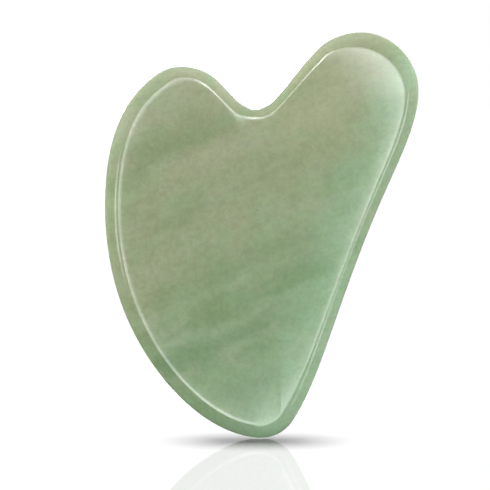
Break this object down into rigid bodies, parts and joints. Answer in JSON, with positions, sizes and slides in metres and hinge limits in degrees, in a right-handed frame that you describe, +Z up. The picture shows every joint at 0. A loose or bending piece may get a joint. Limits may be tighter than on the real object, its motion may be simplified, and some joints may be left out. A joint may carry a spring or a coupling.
{
  "type": "gua sha board",
  "caption": "Flat heart-shaped massage board of polished green stone, with a big lobe, a small lobe, a notch between them and a rounded tip.",
  "frame": {"origin": "on the flat middle of the back face, at half the width and half the height", "axes": "+Z up from the tip to the lobes along the height, +X towards the big lobe, +Y out of the back face along the thickness"},
  "size_m": [0.0627, 0.006, 0.0816],
  "materials": {
    "stone": "polished"
  },
  "bodies": {
    "root": {"stone_board": "stone"}
  },
  "joints": []
}
